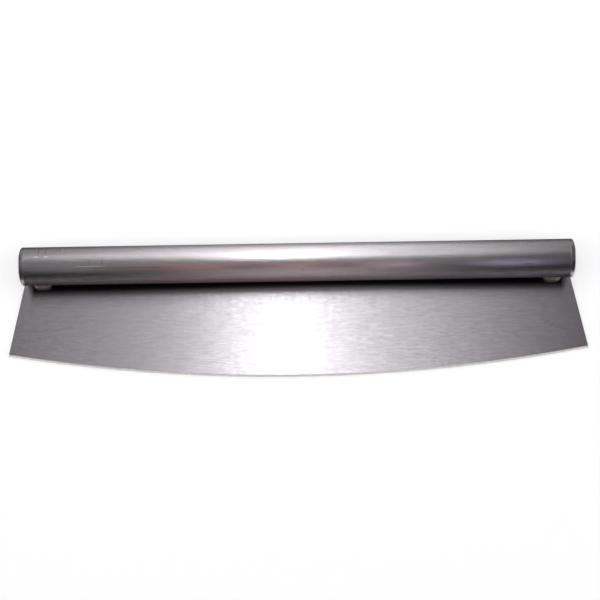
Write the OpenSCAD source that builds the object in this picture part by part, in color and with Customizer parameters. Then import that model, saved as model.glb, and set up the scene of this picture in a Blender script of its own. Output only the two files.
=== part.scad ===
// Rocking pizza knife in stainless steel: an arc-edged blade with a round tube handle
// welded along the front of its top edge.
// It lies on its back. X runs along the handle, Y from the cutting edge to the handle
// and Z up, out of the blade's front face. The origin is the centre of the footprint.

/* [Blade] */
// Width across the two lower corners, where the cutting edge ends
edge_chord = 355.6; // [320:0.1:460]
// Width of the blade along its top edge
top_w = 334; // [280:1:350]
// Distance from the handle's axis down to the lower corners
corner_depth = 53.7; // [40:0.1:64]
// Distance from the handle's axis down to the lowest point of the cutting edge
edge_depth = 68.8; // [58:0.1:110]
// Height of the top edge above the line where the handle lies on the blade
top_rise = 2; // [1:0.1:4]
// Thickness of the blade's sheet
blade_t = 2; // [1.2:0.1:3]
// Width of the ground bevel on each face, along the cutting edge
bevel_w = 1.2; // [0.8:0.1:4]
// Width of the flat that honing leaves on the very edge
edge_land = 0.1; // [0.05:0.05:0.4]

/* [Handle] */
// Outside diameter of the handle tube
handle_d = 23.5; // [18:0.5:32]
// Length of the handle over its end caps
handle_l = 336; // [280:1:430]
// Wall of the handle tube
handle_wall = 1.5; // [0.8:0.1:3]

/* [End caps] */
// Thickness of the disc that closes each end
cap_t = 3; // [1:0.1:5]
// Chamfer round the outer rim of a cap
rim_break = 0.4; // [0.1:0.1:0.6]
// Chamfer on both sides of the seam between a cap and the tube
seam_break = 0.15; // [0.05:0.05:0.3]
// Length of the spigot that centres a cap in the tube
spigot_l = 4; // [2:0.5:10]
// Wall of the hollow spigot
spigot_wall = 1.2; // [0.8:0.1:3]
// Space between the spigot and the tube's bore, on the radius
spigot_gap = 0.1; // [0.05:0.05:0.3]

/* [Welds] */
// Gap left between the handle and the blade's front face when they are fitted up
fit_up_gap = 0.1; // [0:0.05:0.3]
// Distance of the back bead's surface from the back face, so that the knife lies flat
bead_relief = 0.2; // [0.1:0.1:0.8]
// Distance from the ends of the seam to the ends of the back bead
bead_inset = 6; // [2:1:40]
// Radius of the two outer tacks, which show under the handle
outer_tack_r = 4.5; // [3:0.1:5]
// Length of an outer tack, end to end
outer_tack_l = 12; // [11:1:30]
// Distance from the ends of the seam to the middle of the outer tacks
tack_inset = 9.5; // [9:0.5:60]
// Radius of the small tack in the middle, hidden under the handle
middle_tack_r = 2.5; // [2:0.1:3]
// Length of the middle tack, end to end
middle_tack_l = 10; // [8:1:30]

/* [Hidden] */

sheet_steel = [0.66, 0.65, 0.66];
tube_steel = [0.74, 0.70, 0.69];
cap_steel = [0.70, 0.68, 0.68];
weld_steel = [0.56, 0.53, 0.50];

// Segments of a small turned form and of the wide arc of the edge
round_fn = 96;
arc_fn = 1440;
// How far a cutting form runs past the face that it cuts
over = 1;

handle_r = handle_d / 2;
bore_r = handle_r - handle_wall;
tube_l = handle_l - 2 * cap_t;

// The seam runs as far as the handle and the blade's top edge lie on each other
seam_l = min(top_w, handle_l);

// The handle's axis and the blade's main levels, with the footprint centred on Y
axis_y = (edge_depth - handle_r) / 2;
axis_z = blade_t + fit_up_gap + handle_r;
top_y = axis_y + top_rise;
corner_y = axis_y - corner_depth;
edge_y = axis_y - edge_depth;

// Radius of the arc that passes both lower corners and the lowest point
sagitta = edge_depth - corner_depth;
arc_r = (pow(edge_chord / 2, 2) + pow(sagitta, 2)) / (2 * sagitta);
arc_y = edge_y + arc_r;

// How high the space under the handle is at the middle of a tack, as a share of its radius
tack_fill = 0.8;

// A cylinder along X, centred on x = 0, about the handle's axis
module about_axis(radius, length) {
    translate([0, axis_y, axis_z])
        rotate([0, 90, 0])
            cylinder(r = radius, h = length, center = true, $fn = round_fn);
}

// A bar along X with round ends, whose overall length is given
module round_ended_bar(radius, length) {
    straight = length - 2 * radius;
    rotate([0, 90, 0])
        cylinder(r = radius, h = straight, center = true, $fn = round_fn);
    for (side = [-1, 1])
        translate([side * straight / 2, 0, 0])
            sphere(r = radius, $fn = round_fn);
}

// The two straight sides and the top edge, cut off below the lowest point of the arc
module side_outline() {
    slope = (edge_chord - top_w) / 2 / (top_rise + corner_depth);
    low_y = edge_y - over;
    low_x = edge_chord / 2 + slope * (corner_y - low_y);
    polygon([[-top_w / 2, top_y], [top_w / 2, top_y], [low_x, low_y], [-low_x, low_y]]);
}

// Section of the disc whose rim is the cutting edge, with a bevel on both faces
module edge_section() {
    shoulder = arc_r - bevel_w;
    polygon([
        [0, 0], [shoulder, 0],
        [arc_r, (blade_t - edge_land) / 2], [arc_r, (blade_t + edge_land) / 2],
        [shoulder, blade_t], [0, blade_t]
    ]);
}

// The blade: a sheet with leaning sides, ground along the rocking arc
module blade() {
    color(sheet_steel)
        intersection() {
            linear_extrude(height = blade_t) side_outline();
            translate([0, arc_y, 0])
                rotate_extrude($fn = arc_fn) edge_section();
        }
}

// Half section of the tube: its wall, with a small chamfer at each cap seam
module tube_section() {
    half_l = tube_l / 2;
    polygon([
        [bore_r, -half_l], [handle_r - seam_break, -half_l], [handle_r, -half_l + seam_break],
        [handle_r, half_l - seam_break], [handle_r - seam_break, half_l], [bore_r, half_l]
    ]);
}

// Half section of a cap, with its seat on the tube at zero: the disc and the hollow spigot
module cap_section() {
    spigot_r = bore_r - spigot_gap;
    polygon([
        [0, 0], [spigot_r - spigot_wall, 0], [spigot_r - spigot_wall, -spigot_l], [spigot_r, -spigot_l],
        [spigot_r, 0], [handle_r - seam_break, 0], [handle_r, seam_break],
        [handle_r, cap_t - rim_break], [handle_r - rim_break, cap_t], [0, cap_t]
    ]);
}

// The handle: a straight tube between its end caps
module handle_tube() {
    color(tube_steel)
        translate([0, axis_y, axis_z])
            rotate([0, 90, 0])
                rotate_extrude($fn = round_fn) tube_section();
}

// An end cap: a disc flush with the tube and a short hollow spigot in its bore
module end_cap(side) {
    color(cap_steel)
        translate([side * tube_l / 2, axis_y, axis_z])
            rotate([0, side * 90, 0])
                rotate_extrude($fn = round_fn) cap_section();
}

// The bead that joins the top edge to the back of the handle, from end to end
module back_weld() {
    bead_r = blade_t - bead_relief;
    color(weld_steel)
        difference() {
            translate([0, top_y, blade_t])
                round_ended_bar(bead_r, seam_l - 2 * bead_inset);
            about_axis(handle_r, handle_l);
            translate([-seam_l / 2, top_y - 2 * bead_r, -over])
                cube([seam_l, 2 * bead_r, blade_t + bead_r + 2 * over]);
        }
}

// Y of the line in front of the axis where the space under the handle has the given height
function space_y(height) = axis_y - sqrt(pow(handle_r, 2) - pow(handle_r + fit_up_gap - height, 2));

// One tack in the narrow space between the handle and the blade's front face
module front_tack(x, radius, length) {
    y = space_y(tack_fill * radius);
    color(weld_steel)
        difference() {
            translate([x, y, blade_t])
                round_ended_bar(radius, length);
            about_axis(handle_r, handle_l);
            translate([x - length, y - 2 * radius, blade_t - 2 * radius])
                cube([2 * length, 4 * radius, 2 * radius]);
        }
}

outer_tack_x = seam_l / 2 - tack_inset;

blade();
handle_tube();
end_cap(-1);  // end_cap_left
end_cap(1);  // end_cap_right
back_weld();
front_tack(-outer_tack_x, outer_tack_r, outer_tack_l);  // front_tack_left
front_tack(0, middle_tack_r, middle_tack_l);  // front_tack_middle
front_tack(outer_tack_x, outer_tack_r, outer_tack_l);  // front_tack_right
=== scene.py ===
"""Looks of a stainless rocking pizza knife: skins, weld beads, steel finishes, studio and camera.

The knife lies on its back. X runs along the handle, Y from the cutting edge to the handle and
Z up, out of the front face of the blade. Lengths are in metres.
"""
import logging
import math
from dataclasses import dataclass, field, replace
from enum import Enum
from functools import reduce
from typing import Any, Mapping, Sequence

import bpy
import numpy as np
from mathutils import Matrix, Vector


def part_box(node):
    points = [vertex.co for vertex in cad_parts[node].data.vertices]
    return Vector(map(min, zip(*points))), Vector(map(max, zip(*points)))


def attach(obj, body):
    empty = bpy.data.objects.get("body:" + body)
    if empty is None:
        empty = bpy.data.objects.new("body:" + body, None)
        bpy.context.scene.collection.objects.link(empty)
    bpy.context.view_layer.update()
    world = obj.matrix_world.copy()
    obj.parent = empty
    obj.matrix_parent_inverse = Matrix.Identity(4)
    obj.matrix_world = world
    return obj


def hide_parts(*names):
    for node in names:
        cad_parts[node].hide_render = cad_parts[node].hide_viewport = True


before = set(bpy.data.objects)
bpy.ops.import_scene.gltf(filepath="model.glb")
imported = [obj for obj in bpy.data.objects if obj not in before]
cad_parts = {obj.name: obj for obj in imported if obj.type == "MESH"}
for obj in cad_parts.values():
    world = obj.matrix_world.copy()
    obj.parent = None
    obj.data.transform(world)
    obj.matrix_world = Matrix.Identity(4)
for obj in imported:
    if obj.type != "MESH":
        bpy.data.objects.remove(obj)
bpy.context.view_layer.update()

LOG = logging.getLogger("rocking_knife")
MM = 0.001
PICTURE_SIDE = 600
SENSOR_MM = 36.0

Colour = tuple[float, float, float]
Point = tuple[float, float, float]

WHITE: Colour = (1.0, 1.0, 1.0)
ALONG_X: Point = (1.0, 0.0, 0.0)
ALONG_Y: Point = (0.0, 1.0, 0.0)
ALONG_Z: Point = (0.0, 0.0, 1.0)

# Sockets of the Mix node that hold its two colours and its result
MIX_A, MIX_B, MIX_RESULT = 6, 7, 2
# How strong each finer wave of a noise is against the one before
FINER_WAVES = 0.55

# Two sets of lines lean a brushed surface. Hairlines, far narrower than a pixel, spread the light,
# and wider ones show. Their pitches are shares of the steel's pitch, their weights of its tilt.
HAIR_PITCH, HAIR_WEIGHT, HAIR_DETAIL = 0.015, 8.0, 1.0
LINE_WEIGHT, LINE_DETAIL, LINE_SHIFT = 0.15, 2.0, 0.37
# Streaks of colour and roughness: pitch against the steel's pitch, and the noise that they span
STREAK_PITCH, STREAK_DETAIL, STREAK_SHIFT = 1.7, 3.0, 0.19
STREAK_SPAN = (0.3, 0.7)
STREAK_ROUGHNESS = 0.3
GROOVE: Colour = (0.25, 0.24, 0.24)
# Wide clouds of the second colour: pitch against the length of the lines, and their span
CLOUD_PITCH, CLOUD_DETAIL, CLOUD_SHIFT = 0.3, 2.0, 0.53
CLOUD_SPAN = (0.4, 0.65)
# Strength of the metal's reflection where it is seen at a low angle
LOW_ANGLE: Colour = (0.3, 0.3, 0.3)

# The face of a flat card or floor with four corners
ONE_QUAD = [[0, 1, 2, 3]]
# Glossy Depth of a ray stays under this at its first bounce off gloss
FIRST_BOUNCE = 1.5
# Where a mark on the handle is full and where it ends, as shares of its half size
MARK_FULL, MARK_END = 0.5, 1.4
# Share of a light bell's level that is left one fall away from its middle
BELL_SHARE = 0.6


class Grain(Enum):
    """Which way the abrasive belt ran over the steel."""

    LENGTHWISE = "along the handle"
    ACROSS = "square to the cutting edge"


class Side(Enum):
    """The two ends of the knife; the value is the sign of X there."""

    LEFT = -1
    RIGHT = 1


class Signal:
    """One shader output that takes part in Python arithmetic."""

    def __init__(self, graph: "Graph", socket: bpy.types.NodeSocket) -> None:
        """Keep the socket and the graph that new nodes go into."""
        self.graph = graph
        self.socket = socket

    def __add__(self, other: "Signal | float") -> "Signal":
        """Sum of two values."""
        return self.graph.maths("ADD", self, other)

    __radd__ = __add__

    def __sub__(self, other: "Signal | float") -> "Signal":
        """Difference of two values."""
        return self.graph.maths("SUBTRACT", self, other)

    def __rsub__(self, other: "Signal | float") -> "Signal":
        """Difference with this value taken away."""
        return self.graph.maths("SUBTRACT", other, self)

    def __mul__(self, other: "Signal | float") -> "Signal":
        """Product of two values."""
        return self.graph.maths("MULTIPLY", self, other)

    __rmul__ = __mul__

    def __truediv__(self, other: "Signal | float") -> "Signal":
        """Quotient of two values."""
        return self.graph.maths("DIVIDE", self, other)

    def __rtruediv__(self, other: "Signal | float") -> "Signal":
        """Quotient with this value below."""
        return self.graph.maths("DIVIDE", other, self)


Feed = Signal | float | Sequence[float]


class Graph:
    """The nodes of one material or world."""

    def __init__(self, tree: bpy.types.NodeTree) -> None:
        """Start from an empty tree."""
        self.tree = tree
        tree.nodes.clear()

    def node(self, kind: str, settings: Mapping[str, Any] | None = None,
             values: Mapping[str | int, Feed] | None = None) -> bpy.types.Node:
        """Add one node.

        Args:
            kind: the node's type, such as ShaderNodeMath.
            settings: properties that are set before the sockets, such as operation.
            values: numbers, colours or signals for the named sockets.

        Returns:
            The new node.
        """
        node = self.tree.nodes.new(kind)
        for name, value in (settings or {}).items():
            setattr(node, name, value)
        for name, value in (values or {}).items():
            if isinstance(value, Signal):
                self.tree.links.new(value.socket, node.inputs[name])
            else:
                node.inputs[name].default_value = value
        return node

    def out(self, node: bpy.types.Node, name: str | int = 0) -> Signal:
        """One output of a node as a signal."""
        return Signal(self, node.outputs[name])

    def maths(self, operation: str, a: Signal | float, b: Signal | float = 0.0) -> Signal:
        """A Math node on two values."""
        return self.out(self.node("ShaderNodeMath", {"operation": operation}, {0: a, 1: b}))

    def vector(self, operation: str, a: Feed, b: Feed = (0.0, 0.0, 0.0)) -> Signal:
        """A Vector Math node on two vectors."""
        return self.out(self.node("ShaderNodeVectorMath", {"operation": operation}, {0: a, 1: b}))

    def summed(self, *vectors: Feed) -> Feed:
        """Vectors or colours, added up one after the other."""
        return reduce(lambda total, vector: self.vector("ADD", total, vector), vectors)

    def scaled(self, direction: Feed, amount: Feed) -> Signal:
        """A vector times a number."""
        values = {0: direction, "Scale": amount}
        return self.out(self.node("ShaderNodeVectorMath", {"operation": "SCALE"}, values))

    def length(self, vector: Feed) -> Signal:
        """Length of a vector."""
        node = self.node("ShaderNodeVectorMath", {"operation": "LENGTH"}, {0: vector})
        return self.out(node, "Value")

    def mixed(self, share: Feed, a: Feed, b: Feed) -> Signal:
        """Two colours mixed, with share as the part of the second."""
        node = self.node("ShaderNodeMix", {"data_type": "RGBA"}, {0: share, MIX_A: a, MIX_B: b})
        return self.out(node, MIX_RESULT)

    def band(self, value: Signal, low: Feed, high: Feed) -> Signal:
        """A smooth step from 0 at low to 1 at high."""
        values = {"Value": value, "From Min": low, "From Max": high}
        return self.out(self.node("ShaderNodeMapRange", {"interpolation_type": "SMOOTHSTEP"}, values))

    def bell(self, value: Signal, middle: float, fall: float) -> Signal:
        """A bell: BELL_SHARE to the power of (distance from its middle / fall) squared."""
        away = (value - middle) / fall
        return self.maths("POWER", BELL_SHARE, away * away)

    def place(self) -> Signal:
        """Object coordinates, in metres."""
        return self.out(self.node("ShaderNodeTexCoord"), "Object")

    def normal(self) -> Signal:
        """The surface's own normal."""
        return self.out(self.node("ShaderNodeNewGeometry"), "Normal")

    def parts(self, vector: Signal) -> tuple[Signal, Signal, Signal]:
        """The three components of a vector."""
        node = self.node("ShaderNodeSeparateXYZ", values={0: vector})
        return self.out(node, 0), self.out(node, 1), self.out(node, 2)

    def streaks(self, pitch: Point, detail: float, shift: float = 0.0) -> Signal:
        """Noise stretched along the axes, from 0 to 1 around 0.5.

        Args:
            pitch: length of one wave along X, Y and Z.
            detail: how many finer waves are added.
            shift: how far the pattern is moved, in waves, so that it differs from others.

        Returns:
            The noise.
        """
        values = {"Vector": self.place(), "Location": (shift, shift, shift),
                  "Scale": tuple(1.0 / wave for wave in pitch)}
        stretched = self.out(self.node("ShaderNodeMapping", values=values))
        values = {"Vector": stretched, "Scale": 1.0, "Detail": detail, "Roughness": FINER_WAVES}
        return self.out(self.node("ShaderNodeTexNoise", values=values), "Fac")

    def mixed_shaders(self, share: Signal, a: Signal, b: Signal) -> Signal:
        """Two shaders mixed, with share as the part of the second."""
        return self.out(self.node("ShaderNodeMixShader", values={0: share, 1: a, 2: b}))

    def clear_behind(self, shader: Signal) -> Signal:
        """A shader for the front of a face whose back is clear.

        Args:
            shader: what the front shows.

        Returns:
            The new shader.
        """
        behind = self.out(self.node("ShaderNodeNewGeometry"), "Backfacing")
        clear = self.out(self.node("ShaderNodeBsdfTransparent"))
        return self.mixed_shaders(behind, shader, clear)

    def close(self, shader: Signal) -> None:
        """Make a shader the material's surface."""
        self.node("ShaderNodeOutputMaterial", values={"Surface": shader})


def opaque(colour: Colour) -> tuple[float, float, float, float]:
    """A colour with its alpha."""
    return (*colour, 1.0)


def new_material(name: str) -> tuple[bpy.types.Material, Graph]:
    """Make an empty material.

    Args:
        name: the material's name.

    Returns:
        The material and the graph of its tree.
    """
    material = bpy.data.materials.new(name)
    material.use_nodes = True
    return material, Graph(material.node_tree)


@dataclass(frozen=True)
class Surface:
    """What a finish feeds to the metal shader.

    Attributes:
        colour: reflected colour.
        roughness: roughness.
        normal: normal, leaned by the grinding lines.
    """

    colour: Signal
    roughness: Signal
    normal: Signal

    def close(self) -> None:
        """End the graph with a metal shader that this surface feeds."""
        graph = self.colour.graph
        values = {"Base Color": self.colour, "Metallic": 1.0, "Roughness": self.roughness,
                  "Normal": self.normal, "Specular Tint": opaque(LOW_ANGLE)}
        graph.close(graph.out(graph.node("ShaderNodeBsdfPrincipled", values=values)))


@dataclass(frozen=True)
class Steel:
    """One finish of the stainless steel.

    Attributes:
        name: the material's name.
        colour: reflected colour.
        tint: a second colour that the first drifts towards in wide clouds.
        roughness: roughness between the grinding lines.
        grain: which way the lines run.
        tilt: how far the lines tilt the surface, as a slope.
        length: how long a line is.
        pitch: distance between the finest lines that show.
        contrast: how much the lines change colour and roughness.
    """

    name: str
    colour: Colour
    tint: Colour
    roughness: float
    grain: Grain
    tilt: float
    length: float
    pitch: float
    contrast: float

    def pitches(self, pitch: float) -> Point:
        """Pitch along X, Y and Z of lines that lie this far apart."""
        lengthwise = self.grain is Grain.LENGTHWISE
        return (self.length, pitch, pitch) if lengthwise else (pitch, self.length, self.length)

    def across(self, graph: Graph) -> Feed:
        """Direction in which the lines tilt the surface, square to the lines.

        For lengthwise lines it is X crossed with the normal, which runs round the handle, plus
        Z times the normal's X, which serves the faces at the ends.

        Args:
            graph: the material's graph.

        Returns:
            The direction.
        """
        if self.grain is Grain.ACROSS:
            return ALONG_X
        normal = graph.normal()
        facing_x, _, _ = graph.parts(normal)
        round_side = graph.vector("CROSS_PRODUCT", ALONG_X, normal)
        return graph.summed(round_side, graph.scaled(ALONG_Z, facing_x))

    def lines(self, graph: Graph) -> Signal:
        """Slope of the grinding lines: hairlines and a few wider ones added, about 0.

        Args:
            graph: the material's graph.

        Returns:
            The slope.
        """
        hairs = graph.streaks(self.pitches(self.pitch * HAIR_PITCH), HAIR_DETAIL) - 0.5
        wider = graph.streaks(self.pitches(self.pitch), LINE_DETAIL, LINE_SHIFT) - 0.5
        return hairs * (HAIR_WEIGHT * self.tilt) + wider * (LINE_WEIGHT * self.tilt)

    def surface(self, graph: Graph) -> Surface:
        """Colour, roughness and normal of the finish.

        Args:
            graph: the material's graph.

        Returns:
            The surface, before marks and painted shade.
        """
        streak = graph.streaks(self.pitches(self.pitch * STREAK_PITCH), STREAK_DETAIL, STREAK_SHIFT)
        cloud = graph.streaks(self.pitches(self.length * CLOUD_PITCH), CLOUD_DETAIL, CLOUD_SHIFT)
        base = graph.mixed(graph.band(cloud, *CLOUD_SPAN), opaque(self.colour), opaque(self.tint))
        grooves = graph.band(streak, *STREAK_SPAN) * self.contrast
        leaning = graph.scaled(self.across(graph), self.lines(graph))
        return Surface(
            colour=graph.mixed(grooves, base, opaque(GROOVE)),
            roughness=(streak - 0.5) * (self.contrast * STREAK_ROUGHNESS) + self.roughness,
            normal=graph.vector("NORMALIZE", graph.summed(graph.normal(), leaning)))

    def material(self) -> bpy.types.Material:
        """The material of a piece that has this finish all over.

        Returns:
            The new material.
        """
        material, graph = new_material(self.name)
        self.surface(graph).close()
        return material


@dataclass(frozen=True)
class Mark:
    """One scratch, nick or ring on the handle.

    Attributes:
        x: where its middle is along the handle.
        turn: direction of its middle about the handle's axis, in degrees from +Z towards +Y.
        half_length: half of its size along the handle.
        half_turn: half of its size round the handle, in degrees.
        shade: colour of the steel inside it.
        depth: how much of the steel's own colour it hides.
    """

    x: float
    turn: float
    half_length: float
    half_turn: float
    shade: Colour = (0.16, 0.13, 0.13)
    depth: float = 0.6

    def mask(self, x: Signal, turn: Signal) -> Signal:
        """How much of the mark covers a point: its depth inside, falling softly over its rim.

        Args:
            x: the point's place along the handle.
            turn: the point's direction about the axis, in degrees.

        Returns:
            The cover, from 0 to the depth.
        """
        graph = x.graph
        along = graph.maths("ABSOLUTE", x - self.x)
        round_axis = graph.maths("ABSOLUTE", turn - self.turn)
        ends = 1.0 - graph.band(along, self.half_length * MARK_FULL, self.half_length * MARK_END)
        sides = 1.0 - graph.band(round_axis, self.half_turn * MARK_FULL, self.half_turn * MARK_END)
        return ends * sides * self.depth


def make_object(name: str, points: np.ndarray, faces: list[list[int]],
                crease: float = 32.0) -> bpy.types.Object:
    """A smooth-shaded mesh object at the origin.

    Args:
        name: name of the piece.
        points: vertex places, one row each.
        faces: vertex numbers of each face, counter-clockwise from outside.
        crease: angle in degrees past which an edge stays sharp.

    Returns:
        The new object, in the scene.
    """
    mesh = bpy.data.meshes.new(name)
    mesh.from_pydata(points.tolist(), [], faces)
    mesh.polygons.foreach_set("use_smooth", np.ones(len(mesh.polygons), dtype=bool))
    mesh.set_sharp_from_angle(angle=math.radians(crease))
    mesh.update()
    piece = bpy.data.objects.new(name, mesh)
    bpy.context.scene.collection.objects.link(piece)
    return piece


def ring_faces(rings: int, around: int, closed: bool = False) -> np.ndarray:
    """Quads between neighbouring rings of points.

    Args:
        rings: number of rings.
        around: points in each ring, which closes on itself.
        closed: whether the last ring joins the first.

    Returns:
        One row of four point numbers for each quad.
    """
    steps = rings if closed else rings - 1
    row, column = np.meshgrid(np.arange(steps), np.arange(around), indexing="ij")
    after = (column + 1) % around
    below = (row + 1) % rings
    corners = [row * around + column, row * around + after,
               below * around + after, below * around + column]
    return np.stack([corner.ravel() for corner in corners], axis=1)


def pole_faces(pole: int, first: int, around: int) -> np.ndarray:
    """Triangles from a pole to each step of a ring.

    Args:
        pole: number of the pole's point.
        first: number of the ring's first point.
        around: points in the ring.

    Returns:
        One row of three point numbers for each triangle, which turn as the ring does.
    """
    step = np.arange(around)
    return np.stack([np.full(around, pole), first + step, first + (step + 1) % around], axis=1)


def turned(profile: np.ndarray, centre: tuple[float, float], around: int) -> np.ndarray:
    """Rings of a profile turned about an axis along X.

    A point at distance r from the axis sweeps the circle (x, y + r cos a, z + r sin a).

    Args:
        profile: rows of x and distance from the axis.
        centre: y and z of the axis.
        around: points in each ring.

    Returns:
        An array of rings, points and coordinates.
    """
    angle = np.linspace(0.0, 2 * math.pi, around, endpoint=False)
    x = np.repeat(profile[:, 0:1], around, axis=1)
    y = centre[0] + profile[:, 1:2] * np.cos(angle)
    z = centre[1] + profile[:, 1:2] * np.sin(angle)
    return np.stack([x, y, z], axis=2)


def corner_arc(centre: tuple[float, float], radius: float, start: float, stop: float,
               steps: int = 5) -> np.ndarray:
    """Points of a small arc in the plane of a profile, with angles in degrees."""
    angle = np.radians(np.linspace(start, stop, steps))
    return np.stack([centre[0] + radius * np.cos(angle), centre[1] + radius * np.sin(angle)], axis=1)


@dataclass
class Handle:
    """The round handle: a tube closed by two flush caps.

    Attributes:
        around: points in each ring of the turned skins.
        sections: rings along the tube's outside, with those at its ends.
        wall: wall of the tube.
        edge_round: radius of the caps' outer rim.
        rim_support: width of the flat ring inside that rim, which keeps the disc's shading flat.
        seam: chamfer on both sides of the seam between a cap and the tube.
        spigot_gap: space between a cap's spigot and the tube's bore, on the radius.
        spigot_wall: wall of the hollow spigot.
        painted_shade_colour: colour of the painted shade low on the handle, next to the blade.
        painted_shade_low: height up to which the painted shade is full.
        painted_shade_high: height at which the painted shade ends.
        painted_shade_depth: how much of the steel's colour the painted shade hides.
        tube_steel: finish of the tube.
        cap_steel: finish of the caps.
        marks: scratches, nicks and rings on the tube.
        radius: radius of the handle, from the frame.
        centre: y and z of the handle's axis.
        tube_end: x of the tube's right end.
        cap_end: x of the right cap's outer face.
        spigot_end: x of the right spigot's inner end.
    """

    around: int = 192
    sections: int = 25
    wall: float = 1.5 * MM
    edge_round: float = 0.6 * MM
    rim_support: float = 0.3 * MM
    seam: float = 0.05 * MM
    spigot_gap: float = 0.1 * MM
    spigot_wall: float = 1.2 * MM
    # Painted shade: the tube and caps are darkened low down, next to the blade
    painted_shade_colour: Colour = (0.10, 0.09, 0.085)
    painted_shade_low: float = 5 * MM
    painted_shade_high: float = 9.5 * MM
    painted_shade_depth: float = 0.75
    tube_steel: Steel = Steel(
        "handle_steel", (0.62, 0.595, 0.63), (0.63, 0.58, 0.60), roughness=0.14,
        grain=Grain.LENGTHWISE, tilt=0.12, length=14 * MM, pitch=0.35 * MM, contrast=0.16)
    cap_steel: Steel = Steel(
        "cap_steel", (0.62, 0.595, 0.63), (0.61, 0.585, 0.61), roughness=0.20,
        grain=Grain.LENGTHWISE, tilt=0.12, length=12 * MM, pitch=0.35 * MM, contrast=0.14)
    marks: tuple[Mark, ...] = (
        Mark(-156.1 * MM, 40, 0.30 * MM, 17, depth=0.38),
        Mark(-151.9 * MM, 40, 0.30 * MM, 17, depth=0.38),
        Mark(-157.3 * MM, 16, 1.3 * MM, 2.2, (0.95, 0.93, 0.93)),
        Mark(-151.3 * MM, 16, 1.3 * MM, 2.2, (0.95, 0.93, 0.93)),
        Mark(-124.6 * MM, -1, 0.30 * MM, 8, depth=0.30),
        Mark(-117.2 * MM, -1, 0.30 * MM, 8, depth=0.42),
        Mark(-125.0 * MM, -15, 9 * MM, 1.5, (0.95, 0.90, 0.90), 0.8),
        Mark(-100.0 * MM, -21, 20 * MM, 1.4, (0.34, 0.16, 0.15), 0.45),
        Mark(3.5 * MM, -34, 0.8 * MM, 2.5, depth=0.25),
        Mark(44.5 * MM, -38, 0.7 * MM, 2.5, depth=0.25),
        Mark(138.8 * MM, -29, 2.0 * MM, 1.6))
    radius: float = field(init=False)
    centre: tuple[float, float] = field(init=False)
    tube_end: float = field(init=False)
    cap_end: float = field(init=False)
    spigot_end: float = field(init=False)

    def __post_init__(self) -> None:
        """Read the tube's and the caps' places from the frame."""
        low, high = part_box("handle_tube")
        self.radius = (high[2] - low[2]) / 2
        self.centre = ((high[1] + low[1]) / 2, (high[2] + low[2]) / 2)
        self.tube_end = high[0]
        self.cap_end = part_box("end_cap_right")[1][0]
        self.spigot_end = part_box("end_cap_right")[0][0]

    def tube(self) -> bpy.types.Object:
        """The tube as a closed wall, with a shallow chamfer at the cap seams.

        Its profile runs along the outside and back along the bore, and is turned about the axis.

        Returns:
            The tube, undressed.
        """
        end, radius, bore = self.tube_end, self.radius, self.radius - self.wall
        along = np.linspace(-end, end, self.sections)[1:-1]
        profile = np.vstack([
            [(-end, radius - self.seam), (-end + self.seam, radius)],
            np.stack([along, np.full_like(along, radius)], axis=1),
            [(end - self.seam, radius), (end, radius - self.seam), (end, bore), (-end, bore)]])
        points = turned(profile, self.centre, self.around)
        faces = ring_faces(len(profile), self.around, closed=True)
        return make_object("handle_tube_skin", points.reshape(-1, 3), faces.tolist())

    def cap(self, side: Side) -> bpy.types.Object:
        """One end cap: a turned disc with a softened rim, and its hollow spigot.

        Its profile runs from the disc's face over the rim and round the spigot, and both of its
        ends are closed to a pole on the axis.

        Args:
            side: the end that the cap closes.

        Returns:
            The cap, undressed.
        """
        end, seat, inner, radius = self.cap_end, self.tube_end, self.spigot_end, self.radius
        spigot = radius - self.wall - self.spigot_gap
        flat = radius - self.edge_round
        profile = np.vstack([
            [(end, flat - self.rim_support)],
            corner_arc((end - self.edge_round, flat), self.edge_round, 0, 90),
            [(seat + self.seam, radius), (seat, radius - self.seam)],
            [(seat, spigot), (inner, spigot), (inner, spigot - self.spigot_wall)],
            [(seat, spigot - self.spigot_wall)]])
        rings = turned(profile, self.centre, self.around).reshape(-1, 3)
        points = np.vstack([rings, [(end, *self.centre), (seat, *self.centre)]])
        points[:, 0] *= side.value
        outer, back = len(rings), len(rings) + 1
        faces = [ring_faces(len(profile), self.around)[:, ::-1],
                 pole_faces(outer, 0, self.around),
                 pole_faces(back, len(rings) - self.around, self.around)[:, ::-1]]
        step = 1 if side is Side.RIGHT else -1
        wound = [face for group in faces for face in group[:, ::step].tolist()]
        return make_object(f"end_cap_{side.name.lower()}_skin", points, wound)

    def material(self, steel: Steel, marks: Sequence[Mark] = ()) -> bpy.types.Material:
        """A steel with marks, and painted shade low on the handle, next to the blade.

        Args:
            steel: the finish.
            marks: scratches and nicks on it.

        Returns:
            The new material.
        """
        material, graph = new_material(steel.name)
        surface = steel.surface(graph)
        x, y, height = graph.parts(graph.place())
        turn = graph.maths("ARCTAN2", y - self.centre[0], height - self.centre[1])
        degrees = turn * (180 / math.pi)
        colour = surface.colour
        for mark in marks:
            colour = graph.mixed(mark.mask(x, degrees), colour, opaque(mark.shade))
        # Painted shade: the steel is darkened low on the handle, next to the blade
        painted_shade = (1.0 - graph.band(height, self.painted_shade_low, self.painted_shade_high)) * self.painted_shade_depth
        colour = graph.mixed(painted_shade, colour, opaque(self.painted_shade_colour))
        replace(surface, colour=colour).close()
        return material

    def build(self) -> list[bpy.types.Object]:
        """Make and dress the tube and both caps.

        Returns:
            The three new pieces.
        """
        tube = self.tube()
        tube.data.materials.append(self.material(self.tube_steel, self.marks))
        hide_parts("handle_tube")
        pieces = [tube]
        cap_material = self.material(self.cap_steel)
        for side in Side:
            cap = self.cap(side)
            cap.data.materials.append(cap_material)
            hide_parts(f"end_cap_{side.name.lower()}")
            pieces.append(cap)
        return pieces


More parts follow.
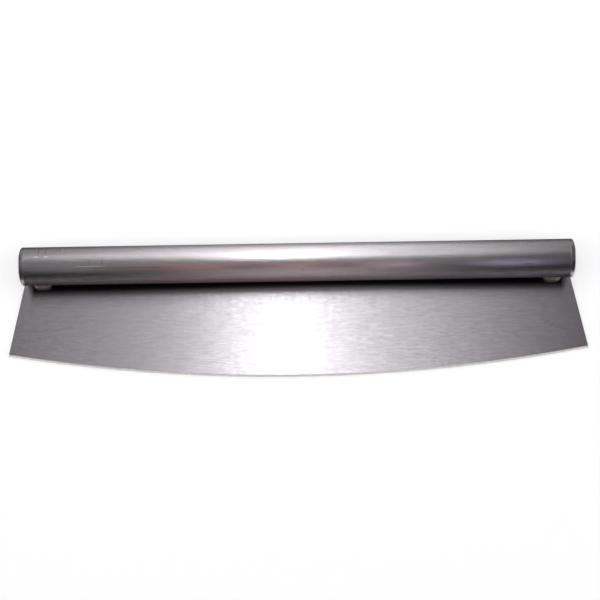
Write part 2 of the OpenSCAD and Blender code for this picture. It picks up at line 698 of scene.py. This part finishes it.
@dataclass
class Blade:
    """The blade: the frame's own sheet, with a brushed face and a ground edge.

    Attributes:
        sagitta: rise of the cutting edge's arc, from its lowest point to the corners.
        bevel: width of the ground bevel.
        bevel_blur: half of the width over which the face turns into the bevel.
        painted_shade_colour: colour of the painted shade on the front face, under and near the handle.
        painted_shade_from: y at which the painted shade begins.
        painted_shade_to: y at which the painted shade is full.
        shade_narrow_x: x of the middle of a stretch where the painted shade keeps closer to the
            handle.
        shade_narrow_half: how far from there the stretch has fallen to BELL_SHARE.
        shade_narrow_from: how much further up the painted shade begins there.
        shade_narrow_to: how much further up the painted shade is full there.
        open_end: length at each end of the tube over which the painted shade fades away.
        front_low: height at which the painted shade begins, so that the back face has none.
        front_high: height at which it is full, just under the front face.
        bow: how fast the grinding lines lean the face towards the handle, in slope per metre.
        bow_from: y at which they don't lean it.
        face_steel: finish of the two faces.
        edge_steel: finish of the bevel.
    """

    sagitta: float = 15.1 * MM
    bevel: float = 1.2 * MM
    bevel_blur: float = 0.05 * MM
    # Painted shade on the front face, under and near the handle
    painted_shade_colour: Colour = (0.03, 0.027, 0.025)
    painted_shade_from: float = 9.0 * MM
    painted_shade_to: float = 16.5 * MM
    shade_narrow_x: float = 20 * MM
    shade_narrow_half: float = 90 * MM
    shade_narrow_from: float = 3.6 * MM
    shade_narrow_to: float = 0.8 * MM
    open_end: float = 2 * MM
    front_low: float = 0.4 * MM
    front_high: float = 1.6 * MM
    bow: float = 1.5
    bow_from: float = 46 * MM
    face_steel: Steel = Steel(
        "blade_steel", (0.66, 0.62, 0.67), (0.64, 0.61, 0.66), roughness=0.19,
        grain=Grain.LENGTHWISE, tilt=0.12, length=5 * MM, pitch=0.34 * MM, contrast=0.21)
    edge_steel: Steel = Steel(
        "edge_steel", (0.86, 0.84, 0.82), (0.80, 0.79, 0.78), roughness=0.60,
        grain=Grain.ACROSS, tilt=0.10, length=6 * MM, pitch=0.35 * MM, contrast=0.20)

    def arc(self) -> tuple[float, float]:
        """The cutting edge's arc: radius = (half chord squared + sagitta squared) / 2 sagitta.

        Returns:
            Its radius and the y of its centre, from the blade's box.
        """
        low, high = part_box("blade")
        half_chord = (high[0] - low[0]) / 2
        radius = (half_chord ** 2 + self.sagitta ** 2) / (2 * self.sagitta)
        return radius, low[1] + radius

    def ground(self, x: Signal, y: Signal) -> Signal:
        """Where the bevel is: 1 where the distance from the arc's centre is past its shoulder.

        Args:
            x: the point's x.
            y: the point's y.

        Returns:
            The mask.
        """
        radius, centre_y = self.arc()
        up = y - centre_y
        from_centre = x.graph.maths("SQRT", x * x + up * up)
        shoulder = radius - self.bevel
        return x.graph.band(from_centre, shoulder - self.bevel_blur, shoulder + self.bevel_blur)

    def painted_shade(self, x: Signal, y: Signal, height: Signal) -> Signal:
        """Where the painted shade is: on the front face, from a soft line up to the top edge.

        Args:
            x: the point's x.
            y: the point's y.
            height: the point's z.

        Returns:
            The mask.
        """
        graph, tube_end = x.graph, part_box("handle_tube")[1][0]
        beyond = graph.band(graph.maths("ABSOLUTE", x), tube_end - self.open_end, tube_end)
        narrowing = graph.bell(x, self.shade_narrow_x, self.shade_narrow_half)
        high_up = graph.band(y, narrowing * self.shade_narrow_from + self.painted_shade_from,
                             narrowing * self.shade_narrow_to + self.painted_shade_to)
        return high_up * (1.0 - beyond) * graph.band(height, self.front_low, self.front_high)

    def material(self) -> bpy.types.Material:
        """Brushed face with painted shade near the handle, and the ground bevel along the edge.

        Returns:
            The new material.
        """
        material, graph = new_material(self.face_steel.name)
        x, y, height = graph.parts(graph.place())
        ground = self.ground(x, y)
        face = self.face_steel.surface(graph)
        edge = self.edge_steel.surface(graph)
        bare = graph.mixed(ground, face.colour, edge.colour)
        leaning = graph.scaled(ALONG_Y, (self.bow_from - y) * self.bow)
        bowed = graph.summed(face.normal, leaning)
        to_edge = graph.scaled(graph.vector("SUBTRACT", edge.normal, bowed), ground)
        # Painted shade: the front face is darkened under and near the handle
        Surface(
            colour=graph.mixed(self.painted_shade(x, y, height), bare, opaque(self.painted_shade_colour)),
            roughness=face.roughness + (edge.roughness - face.roughness) * ground,
            normal=graph.vector("NORMALIZE", graph.summed(bowed, to_edge))).close()
        return material

    def dress(self) -> bpy.types.Object:
        """Dress the blade's own node, which keeps its mesh.

        Returns:
            The blade.
        """
        blade = bpy.data.objects["blade"]
        blade.material_slots[0].material = self.material()
        return blade


@dataclass
class WeldBead:
    """A hand-run weld bead along X with ripples and round ends.

    Attributes:
        node: the node that the bead stands for.
        radius: radius of the bead's crown.
        corner: y and z of the root that the bead is laid on.
        arc: first and last angle of the crown about the root, in degrees from +Y.
        pitch: length of one ripple.
        ripple_steps: sections in each ripple.
        crown_steps: points across the crown.
        dip: depth between two ripples, as a share of the radius.
        lead: how far a ripple runs ahead at the crown's middle, in ripples.
        toe_share: share of the dip that is left where the crown meets the sheet.
        tip_share: share of the radius that is left at the very ends.
        crease: angle in degrees past which an edge stays sharp.
        bar: y and z of the axis and radius of the round bar that the crown stays under.
        bite: how far the crown reaches into that bar, so that no light shows between.
    """

    node: str
    radius: float
    corner: tuple[float, float]
    arc: tuple[float, float]
    pitch: float = 1.3 * MM
    ripple_steps: int = 6
    crown_steps: int = 12
    dip: float = 0.07
    lead: float = 0.45
    toe_share: float = 0.3
    tip_share: float = 0.02
    crease: float = 70.0
    bar: tuple[float, float, float] | None = None
    bite: float = 0.03 * MM

    def crown(self, x: np.ndarray) -> np.ndarray:
        """Points of the crown.

        The crown at x and angle a is the root plus r (cos a, sin a), where r is the radius times
        two shares. One is the round fall towards the ends: the square root of 1 - (1 - d / radius)
        squared, at a distance d from the end. The other is the scalloped ripple, 1 - dip times
        (1 - |sin(pi phase)|), whose phase leads at the crown's middle.

        Args:
            x: place of each section.

        Returns:
            An array of sections, points and coordinates.
        """
        from_end = np.minimum(x - x[0], x[-1] - x)
        fall = 1 - (1 - np.clip(from_end / self.radius, 0, 1)) ** 2
        fall = np.sqrt(np.clip(fall, self.tip_share ** 2, 1))
        angle = np.radians(np.linspace(*self.arc, self.crown_steps))
        middle = np.sin(np.linspace(0, math.pi, self.crown_steps))
        phase = x[:, None] / self.pitch + self.lead * middle
        strength = self.dip * (self.toe_share + (1 - self.toe_share) * middle)
        ripple = 1 - strength * (1 - np.abs(np.sin(math.pi * phase)))
        r = self.radius * fall[:, None] * ripple
        crown = np.stack([np.repeat(x[:, None], self.crown_steps, axis=1),
                          self.corner[0] + r * np.cos(angle),
                          self.corner[1] + r * np.sin(angle)], axis=2)
        if self.bar:
            bar_y, bar_z, bar_r = self.bar
            away = np.minimum(np.abs(crown[..., 1] - bar_y), bar_r)
            underside = bar_z - np.sqrt(bar_r ** 2 - away ** 2) + self.bite
            crown[..., 2] = np.minimum(crown[..., 2], underside)
        return crown

    def build(self, material: bpy.types.Material) -> bpy.types.Object:
        """Make the bead: the crown closed along its root and at both ends.

        Args:
            material: finish of the weld.

        Returns:
            The new piece.
        """
        low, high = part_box(self.node)
        sections = int(round((high[0] - low[0]) / self.pitch * self.ripple_steps)) + 1
        x = np.linspace(low[0], high[0], sections)
        root = np.stack([x, np.full_like(x, self.corner[0]), np.full_like(x, self.corner[1])], axis=1)
        rings = np.concatenate([self.crown(x), root[:, None, :]], axis=1)
        around = self.crown_steps + 1
        first_end = np.arange(around)
        faces = ring_faces(sections, around).tolist()
        faces.append(first_end[::-1].tolist())
        faces.append((first_end + (sections - 1) * around).tolist())
        bead = make_object(f"{self.node}_bead", rings.reshape(-1, 3), faces, self.crease)
        bead.data.materials.append(material)
        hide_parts(self.node)
        return bead


@dataclass
class Welds:
    """The bead behind the handle and the three tacks under it.

    Attributes:
        tacks: nodes of the tacks.
        root_inset: how far the back bead's root lies inside the blade's top edge.
        back_arc: first and last angle of the back bead's crown, in degrees from +Y.
        tack_arc: the same for a tack.
        tack_pitch: length of one ripple on a tack.
        tack_steps: points across a tack's crown.
        steel: finish of the weld metal.
    """

    tacks: tuple[str, ...] = ("front_tack_left", "front_tack_middle", "front_tack_right")
    root_inset: float = 0.02 * MM
    back_arc: tuple[float, float] = (-90, 22)
    tack_arc: tuple[float, float] = (0, 180)
    tack_pitch: float = 1.1 * MM
    tack_steps: int = 24
    steel: Steel = Steel(
        "weld_steel", (0.33, 0.30, 0.27), (0.26, 0.22, 0.17), roughness=0.48,
        grain=Grain.ACROSS, tilt=0.10, length=3 * MM, pitch=0.3 * MM, contrast=0.35)

    def back_bead(self) -> WeldBead:
        """The bead in the corner between the blade's top edge and the handle.

        Returns:
            Its description.
        """
        _, blade_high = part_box("blade")
        back_low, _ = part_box("back_weld")
        root = (blade_high[1] - self.root_inset, blade_high[2])
        return WeldBead("back_weld", blade_high[2] - back_low[2], root, self.back_arc)

    def tack(self, name: str) -> WeldBead:
        """One tack on the blade's front face, under the handle.

        Args:
            name: the tack's node.

        Returns:
            Its description.
        """
        tube_low, tube_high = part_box("handle_tube")
        bar = ((tube_low[1] + tube_high[1]) / 2, (tube_low[2] + tube_high[2]) / 2,
               (tube_high[1] - tube_low[1]) / 2)
        low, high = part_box(name)
        root = ((low[1] + high[1]) / 2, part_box("blade")[1][2])
        return WeldBead(name, (high[1] - low[1]) / 2, root, self.tack_arc,
                        pitch=self.tack_pitch, crown_steps=self.tack_steps, bar=bar)

    def build(self) -> list[bpy.types.Object]:
        """Make the bead and the tacks.

        Returns:
            The four new pieces.
        """
        material = self.steel.material()
        beads = [self.back_bead()] + [self.tack(name) for name in self.tacks]
        return [bead.build(material) for bead in beads]


@dataclass(frozen=True)
class Glow:
    """One bell of light on a card.

    Attributes:
        level: brightness at its middle.
        fall: distance along X at which it has fallen to BELL_SHARE of the level.
        middle: x of its middle.
        colour: colour of the light.
    """

    level: float
    fall: float
    middle: float = 0.0
    colour: Colour = WHITE


class Shows(Enum):
    """What a card lights."""

    ALL = "gloss and matt surfaces"
    GLOSS = "gloss alone, and only what its front faces"
    MATT = "matt surfaces alone"


@dataclass
class SoftCard:
    """A glowing card, parallel to X, whose light is a sum of soft bells.

    Attributes:
        name: name of the card.
        low: y and z of its lower edge.
        high: y and z of its upper edge.
        glows: the bells of light on it.
        half_width: half of its width along X.
        shows: what it lights.
    """

    name: str
    low: tuple[float, float]
    high: tuple[float, float]
    glows: tuple[Glow, ...]
    half_width: float = 0.9
    shows: Shows = Shows.ALL

    def mesh(self) -> tuple[np.ndarray, list[list[int]]]:
        """Points and faces of the card."""
        half = self.half_width
        return np.array([(-half, *self.low), (half, *self.low),
                         (half, *self.high), (-half, *self.high)]), ONE_QUAD

    def build(self) -> None:
        """Make the card and hide it from the camera."""
        card = make_object(self.name, *self.mesh())
        material, graph = new_material(self.name)
        x, _, _ = graph.parts(graph.place())
        bells = [graph.scaled(glow.colour, graph.bell(x, glow.middle, glow.fall) * glow.level)
                 for glow in self.glows]
        values = {"Color": graph.summed(*bells), "Strength": 1.0}
        lamp = graph.out(graph.node("ShaderNodeEmission", values=values))
        graph.close(graph.clear_behind(lamp) if self.shows is Shows.GLOSS else lamp)
        card.data.materials.append(material)
        card.visible_camera = False
        card.visible_diffuse = self.shows is not Shows.GLOSS
        card.visible_glossy = self.shows is not Shows.MATT
        card.visible_shadow = self.shows is Shows.ALL


@dataclass
class SideCard(SoftCard):
    """A card square to X, which stands at half_width on one side.

    Attributes:
        side: the side that it stands on.
    """

    side: Side = Side.LEFT

    def mesh(self) -> tuple[np.ndarray, list[list[int]]]:
        """Points and faces of the card."""
        x, (near, foot), (far, top) = self.side.value * self.half_width, self.low, self.high
        return np.array([(x, near, foot), (x, far, foot), (x, far, top), (x, near, top)]), ONE_QUAD


@dataclass
class EdgeCard(SoftCard):
    """A low card that follows the cutting edge; low and high are distances out from it and z.

    Attributes:
        arc: radius of the cutting edge and y of its centre.
        steps: number of faces along the edge.
    """

    arc: tuple[float, float] = (0.5, 0.0)
    steps: int = 48

    def mesh(self) -> tuple[np.ndarray, list[list[int]]]:
        """Two arcs about the edge's centre, at its radius plus a distance, joined by quads.

        Returns:
            Points and faces of the card.
        """
        radius, centre_y = self.arc
        angle = np.linspace(-1.0, 1.0, self.steps + 1) * math.asin(self.half_width / radius)
        rows = [np.stack([(radius + out) * np.sin(angle), centre_y - (radius + out) * np.cos(angle),
                          np.full_like(angle, z)], axis=1) for out, z in (self.low, self.high)]
        step = np.arange(self.steps)
        after = step + self.steps + 1
        return np.vstack(rows), np.stack([step, step + 1, after + 1, after], axis=1).tolist()


@dataclass
class Studio:
    """Pale floor and horizon, dim ceiling and soft cards.

    Attributes:
        edge_arc: radius of the cutting edge and y of its centre.
        floor_half: half of the floor's side.
        floor_drop: how far the floor lies under the knife.
        floor_colour: colour of the floor.
        floor_glow: the floor's own light near the knife.
        glow_low: distance from the knife at which that light begins to grow.
        glow_high: distance at which it is full white.
        ceiling_level: light from overhead.
        horizon_level: light from the horizon.
        horizon_low: height of a direction at which the horizon begins to dim.
        horizon_high: height at which it has dimmed to the ceiling's level.
    """

    edge_arc: tuple[float, float]
    floor_half: float = 30.0
    floor_drop: float = 0.1 * MM
    floor_colour: Colour = (0.80, 0.80, 0.80)
    floor_glow: float = 0.30
    glow_low: float = 0.4
    glow_high: float = 1.5
    ceiling_level: float = 0.01
    horizon_level: float = 0.85
    horizon_low: float = 0.12
    horizon_high: float = 0.34

    def seen_directly(self, graph: Graph) -> Signal:
        """1 for rays that show the background: from the camera, through glass or off first gloss.

        Args:
            graph: the floor's graph.

        Returns:
            The mask.
        """
        path = graph.node("ShaderNodeLightPath")
        through = graph.maths("MAXIMUM", graph.out(path, "Is Camera Ray"),
                              graph.out(path, "Is Transmission Ray"))
        first = graph.maths("LESS_THAN", graph.out(path, "Glossy Depth"), FIRST_BOUNCE)
        return graph.maths("MAXIMUM", through, graph.out(path, "Is Glossy Ray") * first)

    def floor(self) -> None:
        """A pale floor that reads as white, keeps the knife's shadow and is clear from below."""
        side, z = self.floor_half, -self.floor_drop
        corners = np.array([(-side, -side, z), (side, -side, z), (side, side, z), (-side, side, z)])
        ground = make_object("floor", corners, ONE_QUAD)
        material, graph = new_material("floor")
        values = {"Color": opaque(self.floor_colour)}
        lit = graph.out(graph.node("ShaderNodeBsdfDiffuse", values=values))
        far = graph.band(graph.length(graph.place()), self.glow_low, self.glow_high)
        level = far * (1.0 - self.floor_glow) + self.floor_glow
        values = {"Color": graph.scaled(WHITE, level), "Strength": 1.0}
        glow = graph.out(graph.node("ShaderNodeEmission", values=values))
        white = graph.out(graph.node("ShaderNodeAddShader", values={0: lit, 1: glow}))
        top = graph.mixed_shaders(self.seen_directly(graph), lit, white)
        graph.close(graph.clear_behind(top))
        ground.data.materials.append(material)

    def room(self) -> None:
        """A room that is white to the camera, and pale at the horizon and dim overhead to the rest."""
        world = bpy.data.worlds.new("room")
        world.use_nodes = True
        bpy.context.scene.world = world
        graph = Graph(world.node_tree)
        _, _, height = graph.parts(graph.out(graph.node("ShaderNodeTexCoord"), "Generated"))
        dimming = graph.band(height, self.horizon_low, self.horizon_high)
        level = dimming * (self.ceiling_level - self.horizon_level) + self.horizon_level
        camera = graph.out(graph.node("ShaderNodeLightPath"), "Is Camera Ray")
        values = {"Color": opaque(WHITE), "Strength": graph.maths("MAXIMUM", level, camera)}
        air = graph.node("ShaderNodeBackground", values=values)
        graph.node("ShaderNodeOutputWorld", values={"Surface": graph.out(air)})

    def key_cards(self) -> list[SoftCard]:
        """The key light behind the handle, in three cards from high to low.

        Returns:
            The cards.
        """
        low_key = (Glow(4.4, 0.050, -0.035), Glow(1.45, 0.19, 0.07), Glow(0.24, 0.32, -0.36),
                   Glow(0.06, 0.20, 0.68, (1.0, 0.5, 0.65)))
        high_key = (Glow(1.2, 0.075, -0.01), Glow(1.30, 0.26, -0.04), Glow(0.28, 0.10, -0.40),
                    Glow(0.25, 0.05, -0.165), Glow(0.20, 0.10, 0.33))
        back = (Glow(1.1, 0.20), Glow(0.45, 0.50))
        return [SoftCard("low_key_card", (0.60, 1.115), (0.36, 1.305), low_key),
                SoftCard("high_key_card", (1.25, 0.67), (0.605, 1.11), high_key),
                SoftCard("back_card", (1.60, 0.02), (1.25, 0.66), back)]

    def fill_cards(self) -> list[SoftCard]:
        """The fills overhead and in front, whose coloured bells give the handle its soft spots.

        Returns:
            The cards.
        """
        crown = (Glow(0.16, 0.20), Glow(0.22, 0.50, -0.10), Glow(0.06, 0.10, -0.42))
        front = (Glow(0.085, 0.50, -0.05), Glow(0.18, 0.08, -0.40),
                 Glow(0.12, 0.03, -0.26, (1.0, 0.1, 0.1)),
                 Glow(0.60, 0.030, -0.17, (1.0, 0.45, 0.45)),
                 Glow(0.70, 0.030, -0.005, (1.0, 0.5, 0.5)),
                 Glow(0.75, 0.030, 0.164, (1.0, 0.78, 0.84)),
                 Glow(0.75, 0.035, 0.376, (0.75, 0.75, 1.0)))
        low_front = (Glow(0.42, 0.15, 0.0, (1.0, 0.9, 0.9)), Glow(0.04, 0.60))
        return [SoftCard("crown_card", (-0.50, 1.30), (0.355, 1.308), crown),
                SoftCard("front_card", (-0.98, 0.92), (-0.505, 1.30), front),
                SoftCard("low_front_card", (-1.35, 0.0), (-0.985, 0.915), low_front)]

    def room_cards(self) -> list[SoftCard]:
        """A card at each side, and one overhead that lights matt surfaces alone.

        Returns:
            The cards.
        """
        low, high, half_width = (-1.0, 0.0), (1.0, 2.4), 1.4
        sides = [SideCard(f"{side.name.lower()}_card", low, high,
                          (Glow(0.9, 1.0, side.value * half_width),), half_width, side=side)
                 for side in Side]
        top = SoftCard("top_card", (-0.7, 1.1), (0.7, 1.1), (Glow(1.35, 3.0),), 1.0, Shows.MATT)
        return [*sides, top]

    def low_cards(self) -> list[SoftCard]:
        """Cards near the floor, for gloss alone: two along the cutting edge, one behind.

        Returns:
            The cards.
        """
        near = (Glow(0.24, 0.055), Glow(0.05, 0.50))
        far = (Glow(0.60, 0.09), Glow(0.20, 0.50))
        return [EdgeCard("edge_card", (0.0015, 0.0035), (0.025, 0.0035), (Glow(1.0, 2.0),), 0.185,
                         Shows.GLOSS, self.edge_arc),
                EdgeCard("near_runner", (0.55, 0.0025), (0.0027, 0.0025), near, 0.30,
                         Shows.GLOSS, self.edge_arc),
                SoftCard("far_runner", (0.046, 0.0015), (0.60, 0.0015), far, 0.4, Shows.GLOSS)]

    def build(self) -> None:
        """Make the floor, the room and the cards."""
        self.floor()
        self.room()
        for card in self.key_cards() + self.fill_cards() + self.room_cards() + self.low_cards():
            card.build()


@dataclass
class Viewpoint:
    """The photograph's camera, fitted to the knife's outline.

    Attributes:
        focal_px: focal length in pixels of the 600 pixel picture.
        distance: from the handle's axis to the lens.
        lean: angle between that line and the blade's normal, towards the edge, in degrees.
        offset_x: where along the handle the lens stands.
        yaw: turn of the optical axis to the right, in radians.
        pitch: turn of the optical axis up, in radians.
        roll: turn of the picture about the optical axis, in radians.
    """

    focal_px: float = 1134.0
    distance: float = 694 * MM
    lean: float = 13.0
    offset_x: float = 2.5 * MM
    yaw: float = -0.0015
    pitch: float = -0.0333
    roll: float = -0.0162

    def build(self, axis: tuple[float, float]) -> None:
        """Make the camera.

        Args:
            axis: y and z of the handle's axis.
        """
        lean = math.radians(self.lean)
        forward = Vector((0.0, math.sin(lean), -math.cos(lean)))
        right = Vector(ALONG_X)
        up = right.cross(forward)
        place = Vector((self.offset_x, *axis)) - forward * self.distance
        forward, right = self.turn(forward, right, self.yaw)
        forward, up = self.turn(forward, up, self.pitch)
        right, up = self.turn(right, up, self.roll)
        data = bpy.data.cameras.new("photo_camera")
        data.sensor_width = SENSOR_MM
        data.lens = self.focal_px * SENSOR_MM / PICTURE_SIDE
        camera = bpy.data.objects.new("photo_camera", data)
        columns = Matrix((right, up, -forward)).transposed()
        camera.matrix_world = Matrix.Translation(place) @ columns.to_4x4()
        bpy.context.scene.collection.objects.link(camera)
        bpy.context.scene.camera = camera

    @staticmethod
    def turn(a: Vector, b: Vector, angle: float) -> tuple[Vector, Vector]:
        """Turn two square directions in their own plane, the first towards the second."""
        c, s = math.cos(angle), math.sin(angle)
        return a * c + b * s, b * c - a * s


def report(piece: bpy.types.Object) -> None:
    """Log a piece's name and how many faces it has."""
    LOG.info("%s: %d faces", piece.name, len(piece.data.polygons))


def main() -> None:
    """Build the camera, the studio and the knife, in that order, and report each piece."""
    logging.basicConfig(level=logging.INFO, format="%(name)s: %(message)s")
    bpy.context.scene.view_settings.view_transform = "Standard"
    handle, blade = Handle(), Blade()
    Viewpoint().build(handle.centre)
    Studio(blade.arc()).build()
    report(blade.dress())
    for assembly in (handle, Welds()):
        for piece in assembly.build():
            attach(piece, "root")
            report(piece)


if __name__ == "__main__":
    main()
